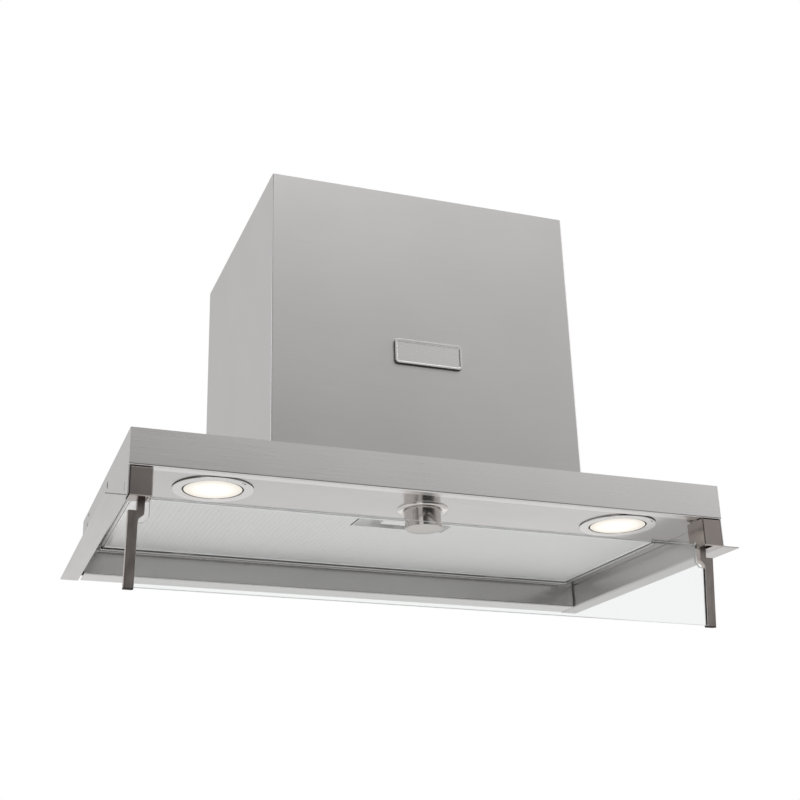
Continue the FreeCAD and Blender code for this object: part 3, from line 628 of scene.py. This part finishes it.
class HOOD_OT_lamps(bpy.types.Operator):
    """Two round lamps: bezel with grooves, lit glass and capsule"""

    bl_idname = "hood.lamps"
    bl_label = "Lamps"

    def execute(self, context):
        # Painted shade: a near-black material on the lamp glass's edge faces stands in for the shade in the groove
        # between glass and bezel.
        groove_shade = moulded_plastic("lamp_glass_groove_shade", (0.02, 0.02, 0.02), 0.5)
        for side in ("left", "right"):
            low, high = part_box("lamp_bezel_" + side)
            centre = (low + high) / 2
            bezel = self.bezel(side, centre, low, high)
            steel = turned_metal("lamp_bezel_turned_" + side, (0.70, 0.69, 0.68), 0.2, centre)
            hand_over(bezel, "root", "polished_ring", steel, "lamp_bezel_" + side)
            glass_low, glass_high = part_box("lamp_glass_" + side)
            radius = (glass_high.x - glass_low.x) / 2
            spot = (centre.x, centre.y, glass_low.z)
            glow = lit_glass("lamp_glass_lit_" + side, 0.85, spot, radius)
            pane = self.glass(side)
            hand_over(pane, "root", "lamp_glass", glow, "lamp_glass_" + side)
            # The glass's edge faces take the painted groove shade.
            pane.data.materials.append(groove_shade)
            for face in pane.data.polygons:
                if abs(face.normal.z) < 0.5:
                    face.material_index = 1
            capsule = lit_glass("lamp_capsule_" + side, 1.5, tuple(middle("lamp_bulb_" + side)), radius)
            dress(frame["nodes"]["lamp_bulb_" + side], capsule)
        return {"FINISHED"}

    def bezel(self, side, centre, low, high):
        outer = (high.x - low.x) / 2
        glass_low, glass_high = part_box("lamp_glass_" + side)
        inner = (glass_high.x - glass_low.x) / 2 + 1.1 * MM
        face, panel, top = low.z, low.z + 1.4 * MM, high.z
        neck = 31.0 * MM
        lip = 0.7 * MM
        profile = [
            (inner, top), (neck, top), (neck, panel), (outer - 1.6 * MM, panel),
            (outer - 1.6 * MM, face + lip), (outer, face + lip), (outer, face + 0.35 * MM),
            (outer - 0.35 * MM, face), (inner + 0.5 * MM, face), (inner, face + 0.5 * MM),
        ]
        ring = profile_ring("lamp_bezel_piece_" + side, centre, profile)
        self.pry_notch(ring, centre, outer - 2.4 * MM, face)
        smooth(ring)
        return ring

    def pry_notch(self, ring, centre, reach, face):
        """Cuts a short slot into the ring's face, for the tip of a screwdriver."""
        angle = math.radians(-50)
        length, width, depth = 6.0 * MM, 1.5 * MM, 0.6 * MM
        clear_selection()
        bpy.ops.mesh.primitive_cube_add(
            size=1, location=(centre.x + reach * math.cos(angle), centre.y + reach * math.sin(angle), face),
            rotation=(0, 0, angle + math.pi / 2), scale=(length, width, 2 * depth))
        cutter = bpy.context.object
        make_active(ring)
        cut = ring.modifiers.new("notch", "BOOLEAN")
        cut.operation = "DIFFERENCE"
        cut.object = cutter
        cut.solver = "EXACT"
        bpy.ops.object.modifier_apply(modifier=cut.name)
        bpy.data.objects.remove(cutter, do_unlink=True)

    def glass(self, side):
        low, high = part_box("lamp_glass_" + side)
        radius = (high.x - low.x) / 2
        pane = disc_at("lamp_glass_piece_" + side, (low + high) / 2, radius, high.z - low.z)
        for share in (0.3, 0.3, 0.3):
            inset(pane, lambda face: face.normal.z < -0.9 and len(face.vertices) > 8, radius * share)
        apply_bevel(pane, 0.4 * MM, 2)
        smooth(pane)
        return pane


class HOOD_OT_knob(bpy.types.Operator):
    """Turned knob with a satin end, and the polished ring around it"""

    bl_idname = "hood.knob"
    bl_label = "Knob"

    def execute(self, context):
        low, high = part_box("control_knob")
        centre = (low + high) / 2
        radius = (high.x - low.x) / 2
        hub = 4.0 * MM
        dish = 0.25 * MM
        profile = [
            (0.0, low.z + dish), (radius * 0.9, low.z + dish), (radius - 1.1 * MM, low.z),
            (radius - 0.5 * MM, low.z + 0.08 * MM), (radius - 0.12 * MM, low.z + 0.4 * MM),
            (radius, low.z + 0.9 * MM), (radius, high.z - 0.4 * MM), (radius - 0.4 * MM, high.z),
            (radius - 1.6 * MM, high.z), (radius - 1.6 * MM, low.z + 3.0 * MM),
            (hub, low.z + 3.0 * MM), (hub, high.z - 7.0 * MM), (0.0, high.z - 7.0 * MM),
        ]
        knob = self.turned("knob_piece", centre, profile)
        side = polished_metal("knob_side", [c * 0.8 for c in colours().knob], 0.07, 90.0)
        hand_over(knob, "knob", "knob_metal", side, "control_knob")
        end = turned_metal("knob_end", [c * 0.88 for c in colours().knob], 0.34, centre)
        knob.data.materials.append(end)
        for face in knob.data.polygons:
            if face.normal.z < -0.7 and face.center.z < low.z + MM:
                face.material_index = 1
        self.ring()
        return {"FINISHED"}

    def turned(self, name, centre, profile, steps=96):
        """An open outline from axis to axis, spun once; the poles are closed by merging."""
        clear_selection()
        mesh = bpy.data.meshes.new(name)
        points = [(centre.x + r, centre.y, z) for r, z in profile]
        mesh.from_pydata(points, [(i, i + 1) for i in range(len(points) - 1)], [])
        obj = bpy.data.objects.new(name, mesh)
        bpy.context.scene.collection.objects.link(obj)
        make_active(obj)
        bpy.ops.object.mode_set(mode="EDIT")
        bpy.ops.mesh.select_all(action="SELECT")
        bpy.ops.mesh.spin(steps=steps, angle=2 * math.pi, center=(centre.x, centre.y, 0), axis=(0, 0, 1))
        bpy.ops.mesh.select_all(action="SELECT")
        bpy.ops.mesh.remove_doubles(threshold=0.00001)
        bpy.ops.mesh.normals_make_consistent(inside=False)
        leave()
        smooth(obj)
        return obj

    def ring(self):
        low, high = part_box("knob_ring")
        centre = (low + high) / 2
        outer = (high.x - low.x) / 2
        inner = (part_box("control_knob")[1].x - centre.x) + 0.8 * MM
        crown = low.z
        profile = [(inner, high.z), (outer, high.z)]
        steps = 8
        for index in range(steps + 1):
            angle = math.pi * index / steps
            mid, half = (inner + outer) / 2, (outer - inner) / 2
            profile.append((mid + half * math.cos(angle),
                            high.z - 0.6 * MM - (high.z - 0.6 * MM - crown) * math.sin(angle)))
        ring = profile_ring("knob_ring_piece", centre, profile)
        smooth(ring, 50.0)
        shine = polished_metal("knob_ring_polished", (0.70, 0.68, 0.66), 0.08, 120.0)
        hand_over(ring, "root", "polished_ring", shine, "knob_ring")


class HOOD_OT_hinges(bpy.types.Operator):
    """Cast hinge blocks with broken edges"""

    bl_idname = "hood.hinges"
    bl_label = "Hinge Blocks"

    def execute(self, context):
        cast = polished_metal("hinge_block_nickel", [c * 0.85 for c in colours().cast], 0.16, 45.0)
        for side in ("left", "right"):
            bevelled_copy("hinge_block_" + side, "root", "cast_metal", cast, 0.45 * MM, 3)
        return {"FINISHED"}


class HOOD_OT_visor(bpy.types.Operator):
    """Clear visor pane, its two cast arms and their end caps"""

    bl_idname = "hood.visor"
    bl_label = "Visor"

    def execute(self, context):
        cast = brushed_metal("visor_arm_nickel", [c * 1.45 for c in colours().cast], 0.34, (260, 260, 60), 0.12)
        for side in ("left", "right"):
            self.arm(side, cast)
        glass = clear_glass("visor_pane_clear", (0.925, 0.94, 0.935))
        pane = self.pane(glass)
        pane.data.materials.append(ground_glass("visor_pane_edge"))
        for face in pane.data.polygons:
            if abs(face.normal.dot(self.across())) < 0.9:
                face.material_index = 1
        rubber = moulded_plastic("end_cap_rubber", (0.03, 0.028, 0.027), 0.6)
        bevelled_copy("arm_end_caps", "visor", "rubber", rubber, 0.3 * MM, 2)
        return {"FINISHED"}

    def pane(self, material):
        """The pane, which ends at the arms' inner faces, with a seal in each arm's groove."""
        arm_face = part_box("visor_arm_right")[0].x + 5.1 * MM
        piece = clean_copy("visor_glass", "visor_glass_piece")
        for point in piece.data.vertices:
            if abs(point.co.x) > arm_face:
                point.co.x = math.copysign(arm_face, point.co.x)
        apply_bevel(piece, 0.4 * MM, 2)
        smooth(piece)
        hand_over(piece, "visor", "visor_glass", material, "visor_glass")
        clear = moulded_plastic("glazing_seal", (0.62, 0.63, 0.63), 0.35)
        low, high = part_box("arm_end_caps")
        for side in (-1, 1):
            inner, outer = side * arm_face, side * (arm_face + 1.8 * MM)
            seal = box_between("glazing_seal_" + ("left" if side < 0 else "right"),
                               (min(inner, outer), PIVOT.y - 2.0 * MM, PIVOT.z - 76.6 * MM),
                               (max(inner, outer), PIVOT.y + 2.0 * MM, PIVOT.z - 22.8 * MM))
            apply_bevel(seal, 0.3 * MM, 2)
            turn = Matrix.Translation(PIVOT) @ Matrix.Rotation(sizes().visor_lean, 4, "X")
            seal.matrix_world = turn @ Matrix.Translation(-PIVOT)
            settle(seal)
            smooth(seal)
            dress(seal, clear)
            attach(seal, "visor")
        return piece

    def across(self):
        """The direction through the pane's thickness."""
        return Matrix.Rotation(sizes().visor_lean, 3, "X") @ Y

    def arm(self, side, material):
        """An arm with its outer edges rounded, and the glass groove's own edges left sharp."""
        piece = clean_copy("visor_arm_" + side, "visor_arm_piece_" + side)
        outward = 2.6 * MM
        weighted_bevel(piece, lambda point: abs((point - PIVOT).dot(self.across())) > outward, 0.9 * MM)
        hand_over(piece, "visor", "cast_metal", material, "visor_arm_" + side)


class HOOD_OT_filter(bpy.types.Operator):
    """Grease filter: perforated faces, mesh pack, framed edge, latch cup and latch"""

    bl_idname = "hood.filter"
    bl_label = "Grease Filter"

    def execute(self, context):
        tone = colours().filter
        skin = brushed_metal("filter_skin_satin", tone, 0.6, GRAIN_X, 0.02)
        frame_metal = brushed_metal("filter_frame_satin", [c * 1.02 for c in tone], 0.4, GRAIN_X, 0.03)
        knitted = brushed_metal("filter_mesh_knit", [c * 0.95 for c in tone], 0.4, (700, 700, 700), 0.1)
        self.framed(frame_metal)
        for node in ("filter_face", "filter_back"):
            self.perforated(node, skin)
        dress(frame["nodes"]["filter_mesh"], knitted)
        bevelled_copy("filter_latch_cup", "filter", "filter_alu", frame_metal, 0.2 * MM, 2)
        bevelled_copy("filter_latch", "latch", "filter_alu", frame_metal, 0.25 * MM, 2)
        return {"FINISHED"}

    def framed(self, material):
        """Channel frame, with the bead under its lip rounded."""
        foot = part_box("filter_frame")[0].z + 0.05 * MM
        piece = clean_copy("filter_frame", "filter_frame_piece")
        weighted_bevel(piece, lambda point: point.z < foot, 0.8 * MM, 4)
        hand_over(piece, "filter", "filter_alu", material, "filter_frame")

    def cell(self, name, corner, pitch, low_z):
        """One square of sheet with a hole, as a flat face ring of eight faces."""
        mesh = bpy.data.meshes.new(name)
        half = pitch / 2
        hole = pitch * sizes().hole_share
        cx, cy = corner.x + half, corner.y + half
        outer, inner = [], []
        for index in range(8):
            angle = math.radians(45 * index)
            reach = half / max(abs(math.cos(angle)), abs(math.sin(angle)))
            outer.append((cx + reach * math.cos(angle), cy + reach * math.sin(angle), low_z))
            inner.append((cx + hole * math.cos(angle), cy + hole * math.sin(angle), low_z))
        faces = [(i, (i + 1) % 8, 8 + (i + 1) % 8, 8 + i) for i in range(8)]
        mesh.from_pydata(outer + inner, [], faces)
        obj = bpy.data.objects.new(name, mesh)
        bpy.context.scene.collection.objects.link(obj)
        return obj

    def perforated(self, node, material):
        """The node's sheet with rows of holes, clear of the latch cup."""
        low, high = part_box(node)
        pitch = sizes().hole_pitch * (2 if node == "filter_back" else 1)
        columns = int((high.x - low.x) / pitch)
        rows = int((high.y - low.y) / pitch)
        start = Vector(((low.x + high.x - columns * pitch) / 2, (low.y + high.y - rows * pitch) / 2, 0))
        sheet = self.cell(node + "_piece", start, pitch, low.z)
        make_active(sheet)
        for count, step in ((columns, (pitch, 0, 0)), (rows, (0, pitch, 0))):
            array = sheet.modifiers.new("row", "ARRAY")
            array.use_relative_offset = False
            array.use_constant_offset = True
            array.constant_offset_displace = step
            array.count = count
            array.use_merge_vertices = True
            array.merge_threshold = 0.00002
            bpy.ops.object.modifier_apply(modifier=array.name)
        cup_low, cup_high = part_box("filter_latch_cup")
        pick_faces(sheet, lambda face: cup_low.x - 0.5 * MM < face.center.x < cup_high.x + 0.5 * MM
                   and cup_low.y - 0.5 * MM < face.center.y < cup_high.y + 0.5 * MM)
        bpy.ops.mesh.delete(type="FACE")
        leave()
        wall = sheet.modifiers.new("wall", "SOLIDIFY")
        wall.thickness = 0.5 * MM
        wall.offset = -1.0
        bpy.ops.object.modifier_apply(modifier=wall.name)
        if node == "filter_face":
            up = sum(face.normal.z * face.area for face in sheet.data.polygons if face.center.z < low.z + 0.1 * MM)
            if up > 0:
                pick_faces(sheet, lambda face: True)
                bpy.ops.mesh.flip_normals()
                leave()
        hand_over(sheet, "filter", "filter_alu", material, node)


class HOOD_OT_stage(bpy.types.Operator):
    """Pale floor, soft lights, surroundings and camera"""

    bl_idname = "hood.stage"
    bl_label = "Stage"

    def execute(self, context):
        self.floor()
        self.surroundings(context)
        self.lights()
        self.camera(context)
        return {"FINISHED"}

    def floor(self):
        clear_selection()
        bpy.ops.mesh.primitive_plane_add(size=80, location=(0, 0, CAD_BOX[0][2] - 0.5))
        plane = bpy.context.object
        plane.name = "studio_floor"
        settle(plane)
        material, nodes, links = new_material("pale_floor")
        shader = nodes["Principled BSDF"]
        shader.inputs["Roughness"].default_value = 0.8
        cloud = noise_on(nodes, links, 1.5, 2.0)
        links.new(shade(nodes, links, ranged(nodes, links, cloud, 0, 1), (0.82, 0.82, 0.82), 0.015),
                  shader.inputs["Base Color"])
        dress(plane, material)
        plane.visible_glossy = False

    def surroundings(self, context):
        """White for the eye; a soft studio, darker towards the front, for the metal to reflect."""
        world = bpy.data.worlds.new("studio")
        context.scene.world = world
        world.use_nodes = True
        nodes, links = world.node_tree.nodes, world.node_tree.links
        nodes.clear()
        context.scene.view_settings.view_transform = "Standard"
        out = nodes.new("ShaderNodeOutputWorld")
        mix = nodes.new("ShaderNodeMixShader")
        seen = nodes.new("ShaderNodeBackground")
        seen.inputs["Color"].default_value = (1, 1, 1, 1)
        seen.inputs["Strength"].default_value = 1.0
        room = nodes.new("ShaderNodeBackground")
        room.inputs["Strength"].default_value = 1.0
        place = nodes.new("ShaderNodeTexCoord")
        split = nodes.new("ShaderNodeSeparateXYZ")
        links.new(place.outputs["Generated"], split.inputs["Vector"])
        slant = nodes.new("ShaderNodeMath")
        slant.operation = "MULTIPLY_ADD"
        slant.inputs[1].default_value = 0.4
        links.new(split.outputs["X"], slant.inputs[0])
        links.new(split.outputs["Z"], slant.inputs[2])
        front = ranged(nodes, links, slant.outputs["Value"], 0.07, 0.80, 0.26, 0.54)
        low_or_behind = nodes.new("ShaderNodeMath")
        low_or_behind.operation = "MULTIPLY_ADD"
        low_or_behind.inputs[1].default_value = -0.8
        links.new(split.outputs["Z"], low_or_behind.inputs[0])
        links.new(split.outputs["Y"], low_or_behind.inputs[2])
        behind = ranged(nodes, links, low_or_behind.outputs["Value"], 0.0, 1.0, -0.50, 0.0)
        height = split.outputs["Z"]
        parts = (ranged(nodes, links, height, 0.70, 1.08, -0.37, -0.27),
                 ranged(nodes, links, height, 1.0, 0.66, -0.15, 0.05),
                 ranged(nodes, links, height, 1.25, 1.0, -0.85, -0.65))
        blend = nodes.new("ShaderNodeMix")
        links.new(behind, blend.inputs["Factor"])
        links.new(front, blend.inputs["A"])
        links.new(self.times(nodes, links, *parts), blend.inputs["B"])
        bearing = nodes.new("ShaderNodeMath")
        bearing.operation = "ARCTAN2"
        links.new(split.outputs["X"], bearing.inputs[0])
        links.new(split.outputs["Y"], bearing.inputs[1])
        window = nodes.new("ShaderNodeMath")
        window.operation = "COMPARE"
        window.inputs[1].default_value = math.radians(-145)
        window.inputs[2].default_value = math.radians(13)
        links.new(bearing.outputs["Value"], window.inputs[0])
        lit = nodes.new("ShaderNodeMath")
        lit.operation = "MULTIPLY_ADD"
        lit.inputs[1].default_value = 0.8
        links.new(window.outputs["Value"], lit.inputs[0])
        links.new(blend.outputs["Result"], lit.inputs[2])
        links.new(lit.outputs["Value"], room.inputs["Strength"])
        room.inputs["Color"].default_value = (1.0, 0.99, 0.98, 1)
        path = nodes.new("ShaderNodeLightPath")
        through = nodes.new("ShaderNodeMath")
        through.operation = "MAXIMUM"
        links.new(path.outputs["Is Camera Ray"], through.inputs[0])
        links.new(path.outputs["Is Transmission Ray"], through.inputs[1])
        links.new(through.outputs["Value"], mix.inputs["Fac"])
        links.new(room.outputs["Background"], mix.inputs[1])
        links.new(seen.outputs["Background"], mix.inputs[2])
        links.new(mix.outputs["Shader"], out.inputs["Surface"])

    def times(self, nodes, links, first, *others):
        """The product of several values."""
        for other in others:
            product = nodes.new("ShaderNodeMath")
            product.operation = "MULTIPLY"
            links.new(first, product.inputs[0])
            links.new(other, product.inputs[1])
            first = product.outputs["Value"]
        return first

    def soft_light(self, name, place, target, size, power, tint=(1, 1, 1)):
        data = bpy.data.lights.new(name, "AREA")
        data.shape = "RECTANGLE"
        data.size, data.size_y = size
        data.energy = power
        data.color = tint
        lamp = bpy.data.objects.new(name, data)
        bpy.context.scene.collection.objects.link(lamp)
        lamp.location = place
        lamp.rotation_euler = (Vector(target) - Vector(place)).to_track_quat("-Z", "Y").to_euler()

    def lights(self):
        self.soft_light("overhead", (0.3, -0.9, 2.4), (0, 0, 0.1), (2.6, 2.0), 28)
        self.soft_light("right_wall", (2.6, -0.6, 0.9), (0, 0, 0.0), (1.8, 2.2), 14)
        self.soft_light("left_wall", (-2.6, 0.9, 0.9), (0, 0, 0.1), (1.8, 1.8), 12, (0.86, 0.90, 1.0))

    def camera(self, context):
        data = bpy.data.cameras.new("camera")
        data.sensor_width = 36.0
        data.lens = 55.11
        data.shift_x = 0.127
        data.shift_y = 0.0448
        data.clip_start = 0.05
        camera = bpy.data.objects.new("camera", data)
        context.scene.collection.objects.link(camera)
        camera.location = (-0.4251, -1.1021, -0.3556)
        camera.rotation_euler = (1.920, 0.0, -0.294)
        context.scene.camera = camera


class HOOD_PT_panel(bpy.types.Panel):
    """Lists the hood's operators and sizes"""

    bl_idname = "HOOD_PT_panel"
    bl_label = "Hood"
    bl_space_type = "VIEW_3D"
    bl_region_type = "UI"
    bl_category = "Hood"

    def draw(self, context):
        for step in STEPS:
            self.layout.operator(step.bl_idname)
        for group in (context.scene.hood_sizes, context.scene.hood_colours):
            for name in group.__annotations__:
                self.layout.prop(group, name)


STEPS = (
    HOOD_OT_stage,
    HOOD_OT_sheet_finishes,
    HOOD_OT_hidden_finishes,
    HOOD_OT_name_plate,
    HOOD_OT_lamps,
    HOOD_OT_knob,
    HOOD_OT_hinges,
    HOOD_OT_visor,
    HOOD_OT_filter,
)
CLASSES = (HoodSizes, HoodColours, *STEPS, HOOD_PT_panel)


def register():
    for cls in CLASSES:
        bpy.utils.register_class(cls)
    bpy.types.Scene.hood_sizes = bpy.props.PointerProperty(type=HoodSizes)
    bpy.types.Scene.hood_colours = bpy.props.PointerProperty(type=HoodColours)


def unregister():
    del bpy.types.Scene.hood_sizes
    del bpy.types.Scene.hood_colours
    for cls in reversed(CLASSES):
        bpy.utils.unregister_class(cls)


def run_step(step):
    group, name = step.bl_idname.split(".")
    getattr(getattr(bpy.ops, group), name)()


def main():
    register()
    for step in STEPS:
        run_step(step)


if __name__ == "__main__":
    main()
